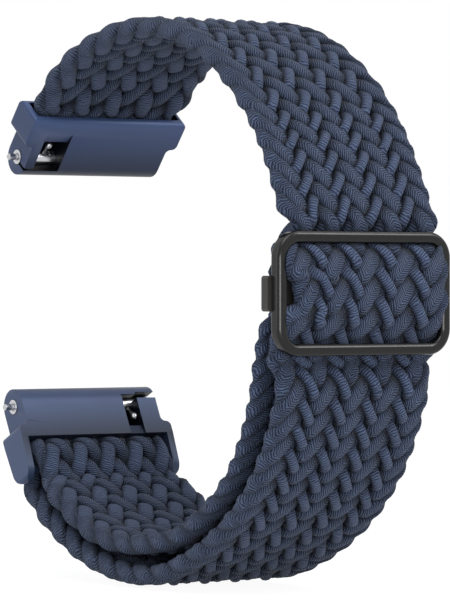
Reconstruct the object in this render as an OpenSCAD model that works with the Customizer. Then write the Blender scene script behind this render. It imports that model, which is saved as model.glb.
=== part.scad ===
/* [Wrist loop] */
// Radius of the worn loop to the middle of the upper strap run, mm
loop_radius = 31.3; // [30.5:0.1:32.5]
// Lean of the top connector away from upright, degrees
top_lean = 39; // [37:0.5:41]
// Lean of the bottom connector away from upright, degrees
bottom_lean = 26; // [24.5:0.5:27.5]
// Gap between the watch lugs that the connectors fit, mm
lug_gap = 20; // [19.5:0.1:20.4]

/* [Strap] */
// Width of the woven strap, mm
strap_width = 20.4; // [19.6:0.1:20.6]
// Thickness of one strap layer, mm
strap_thickness = 2.4; // [2.2:0.05:2.45]
// Thickness of the strap where it folds round the strap bar, mm
fold_thickness = 2.3; // [2.1:0.05:2.35]
// Room between the strap bar and the fold round it, mm
fold_room = 0.25; // [0.2:0.01:0.3]
// Side room between the fold and each arm, mm
fold_side_room = 0.3; // [0.25:0.05:0.4]
// Thickness of the sewn tail behind the centre bar, mm
tail_thickness = 1.3; // [1.1:0.05:1.35]
// Width of the end fold between the ends of the centre bar, mm
bar_fold_width = 18.4; // [17.6:0.1:19]
// Depth of the valleys between the cords of the braid, mm
braid_relief = 0.65; // [0.4:0.05:0.75]
// Depth of the notches between the cords' turns at the edges, mm
edge_scallop = 0.6; // [0.3:0.05:0.8]
// Depth of the strap block held in the top connector, mm
anchor_depth = 2.8; // [2.6:0.1:3]

/* [Connectors] */
// Thickness of both connectors from skin side to outer side, mm
plate_thickness = 4.4; // [4.25:0.05:4.6]
// Distance that each shoulder stands out past the strap's edge, mm
shoulder_reach = 1; // [0.9:0.05:1.3]
// Thickness of each arm beside the fold, mm
arm_thickness = 0.9; // [0.8:0.05:1]
// Side room between the barrel and each lug, mm
barrel_lug_room = 0.1; // [0.05:0.01:0.2]
// Distance from the top bar axis to its shoulders, mm
top_shoulder = 3.2; // [3:0.1:3.4]
// Distance from the top bar axis to the strap mouth, mm
top_length = 7.3; // [7.2:0.1:7.8]
// Distance from the bottom bar axis to its shoulders, mm
bottom_shoulder = 3.3; // [3.1:0.1:3.5]
// Distance from the bottom bar axis to the strap bar axis, mm
strap_bar_distance = 8.3; // [8.2:0.05:8.6]
// Radius of the strap bar moulded between the arms, mm
strap_bar_radius = 0.6; // [0.5:0.02:0.65]
// Radius of the arm ends round the strap bar, mm
arm_end_radius = 1.9; // [1.8:0.05:2.1]
// Radius of the rounded connector corners, mm
corner_radius = 0.7; // [0.5:0.05:0.8]

/* [Quick-release slots] */
// Length of the slot along the bar, mm
slot_width = 3.7; // [3.6:0.05:3.9]
// Distance from the middle of the strap to the inner slot edge, mm
slot_inner_edge = 4.9; // [4.8:0.05:5]
// Distance that the slot reaches past the bar axis, mm
slot_below_axis = 0.5; // [0.45:0.02:0.55]
// Distance from the bar axis to the deep end of the slot, mm
slot_deep_end = 3.6; // [3.5:0.05:3.8]
// Distance from the bar axis to the end of the slot's ramp, mm
slot_ramp_end = 5.2; // [5.1:0.05:5.4]
// Depth of the slot's ramp below the face, mm
slot_ramp_depth = 0.6; // [0.5:0.05:0.65]
// Depth of the slot behind the bar axis, mm
slot_depth = 1.3; // [1.2:0.02:1.4]
// Height of the thin notch that opens the top bore, mm
top_notch_height = 0.35; // [0.3:0.01:0.4]
// Height of the open notch in the bottom connector, mm
bottom_notch_height = 0.85; // [0.8:0.01:0.9]

/* [Spring bars] */
// Outer radius of the bar tube, mm
tube_radius = 0.9; // [0.88:0.005:0.92]
// Wall of the bar tube, mm
tube_wall = 0.3; // [0.28:0.005:0.31]
// Room between the bar tube and the connector bore, mm
bore_room = 0.05; // [0.03:0.005:0.08]
// Radius of the plunger tips, mm
tip_radius = 0.4; // [0.38:0.005:0.41]
// Length of a tip outside the tube, mm
tip_length = 1.3; // [1.2:0.02:1.4]
// Travel of a plunger into the tube, mm
plunger_travel = 1.1; // [1:0.02:1.12]
// Distance from the middle of the strap to the lever, mm
lever_place = 6.6; // [6.55:0.01:6.65]
// Radius of the lever stem, mm
stem_radius = 0.25; // [0.23:0.005:0.26]
// Distance from the bar axis to the lever's ball, mm
ball_distance = 2.5; // [2.4:0.05:2.6]
// Radius of the lever's ball, mm
ball_radius = 0.5; // [0.45:0.01:0.52]
// Angle of the top lever towards the skin side, degrees
top_lever_angle = 15; // [12:1:18]
// Angle of the bottom lever towards the skin side, degrees
bottom_lever_angle = 30; // [27:1:33]
// Radius of the spring to the middle of its wire, mm
spring_radius = 0.42; // [0.4:0.005:0.44]
// Radius of the spring wire, mm
wire_radius = 0.09; // [0.08:0.005:0.1]
// Turns of each spring
spring_turns = 13; // [12:1:14]

/* [Slider] */
// Width of each rail of the slider frame, mm
rail_width = 1.35; // [1.25:0.05:1.45]
// Thickness of the slider frame, mm
rail_thickness = 1.7; // [1.6:0.05:1.8]
// Radius of the rails' long edges, mm
rail_edge_radius = 0.45; // [0.35:0.05:0.55]
// Height of the window in the slider frame, mm
window_height = 11.3; // [11.1:0.1:11.6]
// Side room between the strap and each side rail, mm
window_side_room = 0.65; // [0.55:0.05:0.75]
// Outer radius of the slider's corners, mm
slider_corner_radius = 3; // [2.8:0.1:3.2]
// Height of the centre bar in the window, mm
centre_bar_height = 2.9; // [2.7:0.05:3]
// Thickness of the centre bar, mm
centre_bar_thickness = 1.2; // [1.1:0.05:1.3]
// Height of the centre bar's end tabs, mm
centre_tab_height = 4; // [3.8:0.1:4.2]
// Distance that each tab stands out past the side rail, mm
centre_tab_reach = 0.5; // [0.4:0.05:0.6]
// Depth of the notches that seat the centre bar, mm
centre_notch_depth = 0.3; // [0.25:0.01:0.35]

/* [Hidden] */
$fn = 48;

// colours
connector_colour = [0.16, 0.2, 0.33];
steel_colour = [0.72, 0.73, 0.75];
slider_colour = [0.12, 0.12, 0.13];
strap_colour = [0.2, 0.25, 0.36];
thread_colour = [0.1, 0.13, 0.22];

// directions along and across each connector, as X and Z
top_along = [sin(top_lean), cos(top_lean)];
top_skin = [cos(top_lean), -sin(top_lean)];
bottom_along = [sin(bottom_lean), -cos(bottom_lean)];
bottom_skin = [cos(bottom_lean), sin(bottom_lean)];

// middle of the wrist loop and the axes that hang from it
top_run_start = 3.37;
top_run_inset = 0.45;
loop_centre = top_run_start * top_along + (loop_radius - top_run_inset) * top_skin;
bottom_run_start = 0.83;
bottom_run_inset = 0.82;
bottom_axis = loop_centre + bottom_run_start * bottom_along
  - (loop_radius - bottom_run_inset) * bottom_skin;
strap_bar_axis = bottom_axis + strap_bar_distance * bottom_along;

// barrels, bores and pockets
half_plate = plate_thickness / 2;
connector_width = strap_width + 2 * shoulder_reach;
barrel_width = lug_gap - 2 * barrel_lug_room;
bore_radius = tube_radius + bore_room;
pocket_room = 0.15;
pocket_side_room = 0.2;
pocket_depth = anchor_depth + 0.3;
fold_inner_radius = strap_bar_radius + fold_room;
fold_radius = fold_inner_radius + fold_thickness / 2;
arm_inner = connector_width / 2 - arm_thickness;
fold_width = 2 * (arm_inner - fold_side_room);
plate_fold_room = 0.3;
bottom_plate_length = strap_bar_distance - fold_inner_radius - fold_thickness
  - plate_fold_room;
fold_run = 2.6;
fold_lead = fold_run + 0.8;
slot_outer_edge = slot_inner_edge + slot_width;
bottom_slot_outer_edge = slot_inner_edge + 2.2;
past = 6;

// spring bars
tube_half = lug_gap / 2 - 0.03;
tube_bore = tube_radius - tube_wall;
rolled_end = 0.35;
shank_radius = tip_radius + 0.03;
rolled_radius = shank_radius + 0.03;
flange_radius = tube_bore - 0.03;
flange_end = tube_half - rolled_end - 0.02;
tip_start = tube_half + 0.03;
tip_end = tube_half + tip_length;
tip_chamfer = 0.15;
lever_flange_start = 5.75;
plain_flange_start = 8.5;
spring_end_gap = 0.06;
lever_slot_room = 0.05;
spring_low = -lever_flange_start + spring_end_gap + wire_radius;
spring_high = plain_flange_start - spring_end_gap - wire_radius;
spring_pitch = (spring_high - spring_low) / spring_turns;
echo("least gap of the spring to itself, mm",
  min(spring_pitch, 2 * spring_radius) - 2 * wire_radius);

// slider, measured from its own middle
window_width = strap_width + 2 * window_side_room;
slider_width = window_width + 2 * rail_width;
slider_height = window_height + 2 * rail_width;
slider_back = loop_centre[0] + loop_radius - 0.9;
slider_middle = loop_centre[1] + 0.05;
corner_centre_radius = slider_corner_radius - rail_width / 2;
centre_bar_half = slider_width / 2 + centre_tab_reach;
centre_bar_front = slider_back + centre_notch_depth;
tab_start = window_width / 2 + 0.15;
tab_room = 0.05;

// centre-line distances from the middle of the loop by angle
upper_table = [[-1, -4.7], [4, -4.7], [8, -4.3], [11, -3.4], [14, -2.1], [17, -0.6],
  [20, 0], [118, 0], [124, -0.1], [129, -0.15]];
inner_table = [[-128, -0.95], [-121, -1.1], [-108, -1.05], [-96, -1.4], [-84, -1.8],
  [-71, -1.9], [-59, -2.3], [-46, -2.7], [-33, -3.7], [-19, -4.8], [-12, -4.9],
  [-5, -4.7], [0, -4.7]];
outer_table = [[-131, 2.75], [-127, 2.25], [-121, 1.9], [-114, 1.8], [-104, 1.7],
  [-93, 1.75], [-82, 1.7], [-72, 1.1], [-60, 0.8], [-49, 0.8], [-38, 0.6],
  [-26, 0], [-22, -0.5], [-18, -1.5], [-15, -2.1]];

// radius of the continuous layer where it passes behind the slider
behind_slider = loop_radius + lookup(0, upper_table);

// the outer run stops just below the slider
run_gap_angle = 1.3;
fold_low = [slider_back - 1.75, slider_middle - slider_height / 2 - 0.3];
outer_run_end = atan2(fold_low[1] - loop_centre[1], fold_low[0] - loop_centre[0])
  - run_gap_angle;

// the braid: nineteen cords cross in eighteen columns, and each crossing is a station;
// two stations make a row, and these tables give the rows' angles round the loop
cord_count = 19;
column_width = strap_width / cord_count;
upper_rows = [[0, 129.3], [3, 106], [4, 97.4], [10, 50.8], [11, 43.1], [12, 37.5],
  [13, 32.7], [14, 27.8], [19, 1.8]];
inner_rows = [[0, 0], [5, -25.4], [9, -45.3], [10, -51.8], [12, -66.3], [20, -126.5],
  [21, -133.2]];
outer_rows = [[0, -130.3], [12, -51.1], [18, -18.7], [20, -7.9]];
upper_stations = [1, 38];
inner_stations = [2, 40];
outer_stations = [1, 37];

function on_loop(angle, radius) = loop_centre + radius * [cos(angle), sin(angle)];
function station_angle(rows, i) = lookup((i - 0.5) / 2, rows);
function stations(table, rows, span) = [for (i = [span[0]:span[1]])
  let (a = station_angle(rows, i)) on_loop(a, loop_radius + lookup(a, table))];
function near_top(s, n) = s * top_along + n * top_skin;
function near_bar(s, n) = strap_bar_axis + s * bottom_along + n * bottom_skin;
function heading(p, i) = let (a = p[max(i - 1, 0)], b = p[min(i + 1, len(p) - 1)])
  (b - a) / norm(b - a);
function side_of(p, i, d) = p[i] + d * [-heading(p, i)[1], heading(p, i)[0]];
function thick_at(t, i) = is_list(t) ? t[i] : t;
function ribbon_outline(p, t) = concat(
  [for (i = [0:len(p) - 1]) side_of(p, i, thick_at(t, i) / 2)],
  [for (i = [len(p) - 1:-1:0]) side_of(p, i, -thick_at(t, i) / 2)]);

// a strap layer: its side outline drawn across the width
module ribbon(p, t, width) {
  rotate([90, 0, 0])
    linear_extrude(height = width, center = true)
      polygon(ribbon_outline(p, t));
}

// a braided layer on the line p, whose points [plain, count - plain] are stations from
// number first on; cords that move to the far edge lie over at the edges on the left of
// the line where lead is 1, and on its right where lead is -1
function is_high(c, i) = (c + i) % 2 == 0;
function braid_y(c, i, flat) = let (inset = flat || is_high(c, i) ? 0 : edge_scallop,
    y = (c - cord_count / 2) * column_width)
  c == 0 ? y + inset : c == cord_count ? y - inset : y;
function braid_height(c, i, flat) = flat ? strap_thickness / 2
  : strap_thickness / 2
    - (c == 0 || c == cord_count || !is_high(c, i) ? braid_relief : 0);
function braid_ring(p, k, i, flat) = concat(
  [for (c = [0:cord_count]) let (q = side_of(p, k, braid_height(c, i, flat)))
    [q[0], braid_y(c, i, flat), q[1]]],
  [for (c = [cord_count:-1:0]) let (q = side_of(p, k, -braid_height(c, i, flat)))
    [q[0], braid_y(c, i, flat), q[1]]]);
function rising_over(c) = c % 4 == 1 || c % 4 == 2;

module braid(p, first, plain, lead) {
  ring = 2 * (cord_count + 1);
  last = len(p) - 1;
  points = [for (k = [0:last]) each
    braid_ring(p, k, first + k - plain[0], k < plain[0] || k > last - plain[1])];
  skin = [for (k = [0:last - 1], j = [0:ring - 1])
    let (top = j < cord_count, wall = j == cord_count || j == ring - 1,
      c = top ? j : ring - 2 - j, a = k * ring + j, b = k * ring + (j + 1) % ring,
      rising = wall || rising_over(c) == (top == (lead == 1)),
      split = top ? rising : !rising)
      each split ? [[a, b, b + ring], [a, b + ring, a + ring]]
        : [[a, b, a + ring], [b, b + ring, a + ring]]];
  start_cap = [for (c = [0:cord_count - 1])
    each [[c, ring - 1 - c, ring - 2 - c], [c, ring - 2 - c, c + 1]]];
  end_cap = [for (f = start_cap) [f[0], f[2], f[1]] + last * ring * [1, 1, 1]];
  polyhedron(points, concat(skin, start_cap, end_cap));
}

// stands a connector on its bar axis, its own Z along the strap
module on_top() {
  rotate([0, top_lean, 0]) children();
}

module on_bottom() {
  translate([bottom_axis[0], 0, bottom_axis[1]])
    rotate([0, 180 - bottom_lean, 0])
      children();
}

// bar pieces lie along Y; side is -1 for the near end and 1 for the far end
module along_bar(from, to, r, side = 1) {
  translate([0, side * from, 0])
    rotate([side * -90, 0, 0])
      cylinder(r = r, h = to - from);
}

module rounded_block(width, height, r) {
  union() {
    square([width - 2 * r, height], center = true);
    square([width, height - 2 * r], center = true);
    for (x = [-1, 1], y = [-1, 1])
      translate([x * (width / 2 - r), y * (height / 2 - r)])
        circle(r = r);
  }
}

// front outline of a connector: barrel, and shoulders that swell out in an S
module face_outline(shoulder, end) {
  reach = connector_width / 2;
  half = barrel_width / 2;
  bend = (reach - half) / 2;
  translate([-half, -past])
    square([2 * half, past + shoulder + bend]);
  translate([-reach, shoulder + bend])
    square([2 * reach, end - corner_radius - shoulder - bend]);
  translate([-reach + corner_radius, shoulder + bend])
    square([2 * reach - 2 * corner_radius, end - shoulder - bend]);
  for (side = [-1, 1])
    scale([side, 1]) {
      translate([reach - corner_radius, end - corner_radius])
        circle(r = corner_radius);
      translate([half - 0.01, shoulder])
        square([bend + 0.01, bend + 0.01]);
      translate([half + bend, shoulder + bend])
        circle(r = bend);
      difference() {
        translate([half - 0.01, shoulder - bend])
          square([bend + 0.01, bend + 0.01]);
        translate([half + bend, shoulder - bend])
          circle(r = bend);
      }
    }
}

module across_face(depth) {
  rotate([90, 0, 90])
    linear_extrude(height = depth, center = true)
      children();
}

module across_width(width) {
  rotate([90, 0, 0])
    linear_extrude(height = width, center = true)
      children();
}

// skin is 1 where the skin side is the piece's own +X and -1 where it is -X
module slot_cut(skin, side, inner, outer) {
  ramp_floor = half_plate - slot_ramp_depth;
  translate([0, side * (inner + outer) / 2, 0])
    across_width(outer - inner)
      scale([skin, 1])
        polygon([[-slot_depth, -slot_below_axis], [past, -slot_below_axis],
          [past, slot_ramp_end], [half_plate, slot_ramp_end],
          [ramp_floor, slot_deep_end], [-slot_depth, slot_deep_end]]);
}

module top_connector() {
  pocket_floor = top_length - pocket_depth;
  notch_low = -slot_below_axis;
  color(connector_colour)
    on_top()
      difference() {
        intersection() {
          across_width(connector_width + 1)
            union() {
              circle(r = half_plate);
              translate([-half_plate, 0])
                square([plate_thickness, top_length - corner_radius]);
              translate([0, top_length / 2])
                rounded_block(plate_thickness, top_length, corner_radius);
            }
          across_face(2 * past)
            face_outline(top_shoulder, top_length);
        }
        along_bar(-past * 2, past * 2, bore_radius);
        slot_cut(1, -1, slot_inner_edge, slot_outer_edge);
        translate([0, -connector_width / 2 - 1, notch_low])
          cube([past, connector_width / 2 + 1.01 - slot_outer_edge, top_notch_height]);
        translate([-strap_thickness / 2 - pocket_room,
            -strap_width / 2 - pocket_side_room, pocket_floor])
          cube([strap_thickness + 2 * pocket_room,
            strap_width + 2 * pocket_side_room, past]);
      }
}

module bottom_connector() {
  notch_low = -0.8;
  color(connector_colour)
    on_bottom()
      difference() {
        union() {
          difference() {
            intersection() {
              across_width(connector_width + 1)
                union() {
                  circle(r = half_plate);
                  translate([-half_plate, 0])
                    square([plate_thickness, bottom_plate_length]);
                  polygon([[-half_plate, bottom_plate_length - 0.1],
                    [half_plate, bottom_plate_length - 0.1],
                    [arm_end_radius, strap_bar_distance],
                    [-arm_end_radius, strap_bar_distance]]);
                  translate([0, strap_bar_distance])
                    circle(r = arm_end_radius);
                }
              across_face(2 * past)
                face_outline(bottom_shoulder, strap_bar_distance + arm_end_radius);
            }
            translate([-past, -arm_inner, bottom_plate_length])
              cube([2 * past, 2 * arm_inner, 2 * past]);
          }
          translate([0, 0, strap_bar_distance])
            along_bar(-arm_inner - 0.2, arm_inner + 0.2, strap_bar_radius);
        }
        along_bar(-past * 2, past * 2, bore_radius);
        slot_cut(-1, 1, slot_inner_edge, bottom_slot_outer_edge);
        translate([-past, bottom_slot_outer_edge - 0.01, notch_low])
          cube([past, connector_width, bottom_notch_height]);
      }
}

// the lever side is -1 for the near end and 1 for the far end
module bar_tube(side, lever_turn) {
  slot_from = lever_place - plunger_travel - stem_radius - 2 * lever_slot_room;
  slot_to = lever_place + stem_radius + 2 * lever_slot_room;
  slot_half = stem_radius + lever_slot_room;
  difference() {
    along_bar(-tube_half, tube_half, tube_radius);
    along_bar(-tube_half + rolled_end, tube_half - rolled_end, tube_bore);
    along_bar(-tube_half - 1, tube_half + 1, rolled_radius);
    rotate([0, lever_turn, 0])
      translate([-slot_half, side > 0 ? slot_from : -slot_to, 0])
        cube([2 * slot_half, slot_to - slot_from, 2]);
  }
}

module plunger_body(side, from) {
  along_bar(from, flange_end, flange_radius, side);
  translate([0, side * flange_end, 0])
    rotate([side * -90, 0, 0])
      cylinder(r1 = shank_radius, r2 = tip_radius, h = tip_start - flange_end);
  along_bar(tip_start, tip_end - tip_chamfer, tip_radius, side);
  translate([0, side * (tip_end - tip_chamfer), 0])
    rotate([side * -90, 0, 0])
      cylinder(r1 = tip_radius, r2 = tip_radius - tip_chamfer, h = tip_chamfer);
}

module lever_plunger(side, lever_turn) {
  difference() {
    plunger_body(side, lever_flange_start);
    rotate([0, lever_turn, 0])
      translate([0, side * lever_place, 0])
        cylinder(r = stem_radius + 0.01, h = 2);
  }
}

module lever_knob(side, lever_turn) {
  rotate([0, lever_turn, 0])
    translate([0, side * lever_place, 0])
      union() {
        cylinder(r = stem_radius, h = ball_distance);
        translate([0, 0, ball_distance])
          sphere(r = ball_radius);
      }
}

// one unbroken wound wire, its low end beside the lever plunger
module wound_wire(side) {
  rings = spring_turns * 8;
  sides = 6;
  start = side > 0 ? -spring_high : spring_low;
  lean = atan2(spring_pitch, 360 * spring_radius * PI / 180);
  points = [for (i = [0:rings], j = [0:sides - 1])
    let (a = i * 45, b = j * 60, r = spring_radius + wire_radius * cos(b),
      y = start + spring_pitch * i / 8)
      [r * cos(a) + wire_radius * sin(b) * sin(lean) * sin(a),
        y + wire_radius * sin(b) * cos(lean),
        r * sin(a) - wire_radius * sin(b) * sin(lean) * cos(a)]];
  walls = [for (i = [0:rings - 1], j = [0:sides - 1])
    let (k = (j + 1) % sides, a = i * sides + j, b = i * sides + k,
      c = a + sides, d = b + sides)
      each [[a, b, c], [b, d, c]]];
  caps = concat([for (j = [1:sides - 2]) [0, j + 1, j]],
    [for (j = [1:sides - 2]) [rings * sides, rings * sides + j, rings * sides + j + 1]]);
  polyhedron(points = points, faces = concat(walls, caps));
}

module top_bar_tube() {
  color(steel_colour) on_top() bar_tube(-1, top_lever_angle);
}

module top_bar_spring() {
  color(steel_colour) on_top() wound_wire(-1);
}

module top_lever_plunger() {
  color(steel_colour) on_top() lever_plunger(-1, top_lever_angle);
}

module top_lever_knob() {
  color(steel_colour) on_top() lever_knob(-1, top_lever_angle);
}

module top_plain_plunger() {
  color(steel_colour) on_top() plunger_body(1, plain_flange_start);
}

module bottom_bar_tube() {
  color(steel_colour) on_bottom() bar_tube(1, -bottom_lever_angle);
}

module bottom_bar_spring() {
  color(steel_colour) on_bottom() wound_wire(1);
}

module bottom_lever_plunger() {
  color(steel_colour) on_bottom() lever_plunger(1, -bottom_lever_angle);
}

module bottom_lever_knob() {
  color(steel_colour) on_bottom() lever_knob(1, -bottom_lever_angle);
}

module bottom_plain_plunger() {
  color(steel_colour) on_bottom() plunger_body(-1, plain_flange_start);
}

// rail section: its own X across the rail, its own Y from back to front
module rail_section() {
  translate([0, rail_thickness / 2])
    rounded_block(rail_width, rail_thickness, rail_edge_radius);
}

module slider_frame() {
  run_y = slider_width / 2 - slider_corner_radius;
  run_z = slider_height / 2 - slider_corner_radius;
  rail_y = slider_width / 2 - rail_width / 2;
  rail_z = slider_height / 2 - rail_width / 2;
  notch_half = centre_tab_height / 2 + tab_room;
  color(slider_colour)
    translate([slider_back, 0, slider_middle])
      rotate([90, 0, 90])
        difference() {
          union() {
            for (side = [-1, 1]) {
              translate([0, side * rail_z, 0])
                rotate([90, 0, 90])
                  linear_extrude(height = 2 * run_y, center = true)
                    rail_section();
              translate([side * rail_y, 0, 0])
                rotate([90, 0, 0])
                  linear_extrude(height = 2 * run_z, center = true)
                    rail_section();
            }
            for (corner = [[1, 1, 0], [-1, 1, 90], [-1, -1, 180], [1, -1, 270]])
              translate([corner[0] * run_y, corner[1] * run_z, 0])
                rotate([0, 0, corner[2]])
                  rotate_extrude(angle = 90)
                    translate([corner_centre_radius, 0])
                      rail_section();
          }
          for (side = [-1, 1])
            translate([side * (tab_start + past / 2 - 0.3), 0, 0])
              cube([past, 2 * notch_half, 2 * centre_notch_depth], center = true);
        }
}

module slider_centre_bar() {
  bar = centre_bar_height / 2;
  tab = centre_tab_height / 2;
  step = tab_start - 0.05;
  round_r = 0.35;
  color(slider_colour)
    translate([centre_bar_front - centre_bar_thickness / 2, 0, slider_middle])
      across_face(centre_bar_thickness)
        union() {
          polygon([[-step, -tab], [-step + 0.55, -bar], [step - 0.55, -bar],
            [step, -tab], [step, tab], [step - 0.55, bar], [-step + 0.55, bar],
            [-step, tab]]);
          for (side = [-1, 1])
            scale([side, 1])
              union() {
                translate([step - 0.01, -tab])
                  square([centre_bar_half - round_r - step + 0.01, 2 * tab]);
                translate([step - 0.01, -tab + round_r])
                  square([centre_bar_half - step + 0.01, 2 * tab - 2 * round_r]);
                for (up = [-1, 1])
                  translate([centre_bar_half - round_r, up * (tab - round_r)])
                    circle(r = round_r);
              }
        }
}

module strap_anchor_end() {
  floor_at = top_length - pocket_depth;
  color(strap_colour)
    ribbon([near_top(floor_at, 0), near_top(floor_at + anchor_depth, 0)],
      strap_thickness, strap_width);
}

module strap_upper_run() {
  color(strap_colour)
    braid(concat(
      [near_top(top_length - pocket_depth + anchor_depth, 0), near_top(top_length + 0.6, 0)],
      stations(upper_table, upper_rows, upper_stations),
      [on_loop(0, behind_slider) + [0, 0.4], on_loop(0, behind_slider)]),
      upper_stations[0], [2, 2], 1);
}

module strap_inner_run() {
  color(strap_colour)
    braid(concat([on_loop(0, behind_slider), on_loop(0, behind_slider) - [0, 0.4]],
      stations(inner_table, inner_rows, inner_stations),
      [near_bar(fold_lead, fold_radius), near_bar(fold_run, fold_radius)]),
      inner_stations[0], [2, 2], -1);
}

module strap_bottom_fold() {
  turn = [for (i = [0:16]) let (a = i * 180 / 16)
    near_bar(-fold_radius * sin(a), fold_radius * cos(a))];
  color(strap_colour)
    ribbon(concat([near_bar(fold_run, fold_radius)], turn, [near_bar(fold_run, -fold_radius)]),
      fold_thickness, fold_width);
}

module strap_outer_run() {
  color(strap_colour)
    braid(concat([near_bar(fold_run, -fold_radius), near_bar(fold_lead, -fold_radius)],
      stations(outer_table, outer_rows, outer_stations),
      [on_loop(outer_run_end, loop_radius + lookup(outer_run_end, outer_table))]),
      outer_stations[0], [2, 1], -1);
}

// end fold, from below the slider to the tail, as X from the slider's back and Z
fold_points = [[-1.75, -7.3], [-1.5, -6.6], [-1.2, -5.6], [-0.6, -4.5], [0.15, -3.4],
  [0.92, -2.45], [1.4, -1.5], [1.5, -0.5], [1.5, 0.5], [1.48, 1.5], [1.4, 2.5],
  [1.1, 3.5], [0.45, 4.2], [-0.35, 4.25], [-1, 3.6], [-1.45, 2.6], [-1.72, 1.4],
  [-1.65, 0], [-1.63, -1.5], [-1.63, -2.6]];
fold_thicknesses = [2.15, 2.15, 2.15, 2, 2, 1.9, 1.9, 1.9, 1.9, 1.9, 1.85, 1.75, 1.6,
  1.5, 1.4, tail_thickness, tail_thickness, tail_thickness, tail_thickness,
  tail_thickness];
stitch_depth = 0.25;
stitch_height = 0.4;
stitch_length = 0.9;
stitch_spacing = 1.4;
stitch_rows = [-1.9, -0.8];
stitch_back = slider_back - 1.63 - tail_thickness / 2;

module strap_end_fold() {
  line = [for (p = fold_points) [slider_back + p[0], slider_middle + p[1]]];
  full = strap_width / 2;
  narrow = bar_fold_width / 2;
  beside_bar = centre_bar_height / 2 + 0.45;
  beside_tab = centre_tab_height / 2 + 0.6;
  color(strap_colour)
    difference() {
      intersection() {
        ribbon(line, fold_thicknesses, strap_width + 1);
        translate([slider_back, 0, slider_middle])
          across_face(4 * past)
            polygon([[-full, -2 * past], [full, -2 * past], [full, -beside_tab],
              [narrow, -beside_bar], [narrow, beside_bar], [full, beside_tab],
              [full, past], [-full, past], [-full, beside_tab], [-narrow, beside_bar],
              [-narrow, -beside_bar], [-full, -beside_tab]]);
      }
      for (row = stitch_rows)
        translate([stitch_back - 1, -past * 2, slider_middle + row - stitch_height / 2])
          cube([1 + stitch_depth, past * 4, stitch_height]);
    }
}

module strap_end_stitching() {
  color(thread_colour)
    for (row = stitch_rows, i = [-6:6])
      translate([stitch_back, i * stitch_spacing - stitch_length / 2,
          slider_middle + row - stitch_height / 2])
        cube([stitch_depth, stitch_length, stitch_height]);
}

top_connector();
bottom_connector();
top_bar_tube();
top_bar_spring();
top_lever_plunger();
top_lever_knob();
top_plain_plunger();
bottom_bar_tube();
bottom_bar_spring();
bottom_lever_plunger();
bottom_lever_knob();
bottom_plain_plunger();
slider_frame();
slider_centre_bar();
strap_upper_run();
strap_inner_run();
strap_bottom_fold();
strap_outer_run();
strap_end_fold();
strap_end_stitching();
strap_anchor_end();
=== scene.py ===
import math
from functools import partial

import bmesh
import bpy
import numpy as np
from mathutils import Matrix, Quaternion, Vector
from mathutils.bvhtree import BVHTree


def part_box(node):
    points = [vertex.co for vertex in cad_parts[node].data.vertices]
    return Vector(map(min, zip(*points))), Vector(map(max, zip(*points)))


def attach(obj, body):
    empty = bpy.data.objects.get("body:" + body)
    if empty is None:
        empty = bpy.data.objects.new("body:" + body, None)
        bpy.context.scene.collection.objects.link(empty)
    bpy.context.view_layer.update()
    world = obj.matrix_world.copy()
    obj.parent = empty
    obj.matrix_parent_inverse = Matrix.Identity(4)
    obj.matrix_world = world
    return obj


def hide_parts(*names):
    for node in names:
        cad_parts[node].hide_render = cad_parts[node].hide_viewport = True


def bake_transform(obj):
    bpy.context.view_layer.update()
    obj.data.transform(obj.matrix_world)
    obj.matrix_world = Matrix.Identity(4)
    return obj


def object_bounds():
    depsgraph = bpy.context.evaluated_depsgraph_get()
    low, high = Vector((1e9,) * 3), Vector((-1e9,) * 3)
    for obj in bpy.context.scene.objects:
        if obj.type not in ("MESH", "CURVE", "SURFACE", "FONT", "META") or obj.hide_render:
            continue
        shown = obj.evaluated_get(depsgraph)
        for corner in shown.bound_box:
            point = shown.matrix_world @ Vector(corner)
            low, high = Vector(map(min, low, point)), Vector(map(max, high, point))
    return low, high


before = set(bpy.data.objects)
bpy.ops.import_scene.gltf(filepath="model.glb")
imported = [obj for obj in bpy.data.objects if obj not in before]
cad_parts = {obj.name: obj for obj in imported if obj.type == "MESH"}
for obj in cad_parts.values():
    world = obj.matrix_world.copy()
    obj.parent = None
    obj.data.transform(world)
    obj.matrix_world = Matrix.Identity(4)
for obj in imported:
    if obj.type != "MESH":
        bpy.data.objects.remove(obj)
cad_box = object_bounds()

MM = 0.001


# The strap is seen from its slider side, a little from the near edge, by a long lens
# level with the middle of the loop.
def put_in_scene(name, data):
    """A new object at the origin that shows this mesh, lamp or camera."""
    thing = bpy.data.objects.new(name, data)
    bpy.context.scene.collection.objects.link(thing)
    return thing


def aim(thing, place, target):
    """Stands a camera or a lamp at its place and turns it to the target."""
    thing.location = place
    thing.rotation_mode = "QUATERNION"
    thing.rotation_quaternion = (target - place).to_track_quat("-Z", "Y")


camera_place = Vector((0.40354, -0.26208, -0.01555))
camera_target = Vector((0.0305, 0.0, -0.01758))
camera_data = bpy.data.cameras.new("camera")
camera_data.sensor_fit = "VERTICAL"
camera_data.sensor_height = 24
camera_data.lens = 154.04
camera_data.clip_start = 0.01
camera_data.clip_end = 20
camera = put_in_scene("camera", camera_data)
aim(camera, camera_place, camera_target)
bpy.context.scene.camera = camera
bpy.context.scene.view_settings.view_transform = "Standard"


# A white table under the strap and a white room round it; soft boxes stand above the
# strap, beside the lens, to the left and beyond the far edge.
WHITE = (1, 1, 1, 1)
TABLE_PAPER = (0.9, 0.9, 0.9, 1)
TABLE_GLOW = 1.12
TABLE_GLOW_SHARE = 0.84
TABLE_HALF_WIDTH = 4.0
TABLE_GAP = 0.0006
ROOM_CAST = (0.93, 0.96, 1.0, 1)
ROOM_CAST_STRENGTH = 0.5
LIGHTS_TARGET = Vector((0.03, 0, -0.018))


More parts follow.
